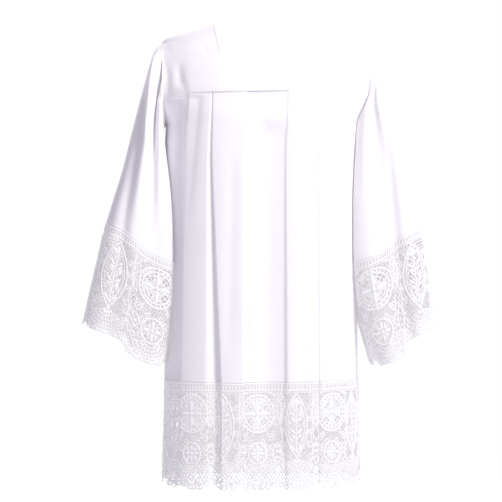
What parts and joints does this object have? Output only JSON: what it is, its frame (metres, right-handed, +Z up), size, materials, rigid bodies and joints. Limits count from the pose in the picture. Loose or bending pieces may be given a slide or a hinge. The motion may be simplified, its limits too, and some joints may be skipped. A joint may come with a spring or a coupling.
{
  "type": "surplice",
  "caption": "White surplice in worn, hollow form: square-necked yoke, pleated body, wide slanting sleeves and deep scalloped lace at hem and cuffs.",
  "frame": {"origin": "midway between the two ends of the neck opening on the shoulder line, where a wearer's shoulders hold the garment up", "axes": "+Z up along the height, -Y towards the garment's front, +X towards the wearer's left"},
  "size_m": [0.712, 0.3103, 0.9304],
  "materials": {
    "cotton": "white cotton blend, matt, pressed pleats",
    "lace": "white corded lace on net, matt"
  },
  "bodies": {
    "root": {"front_yoke": "cotton", "back_yoke": "cotton", "front_panel": "cotton", "back_panel": "cotton", "left_sleeve": "cotton", "right_sleeve": "cotton", "hem_lace_front": "lace", "hem_lace_back": "lace", "left_cuff_lace_front": "lace", "left_cuff_lace_back": "lace", "right_cuff_lace_front": "lace", "right_cuff_lace_back": "lace"}
  },
  "joints": []
}
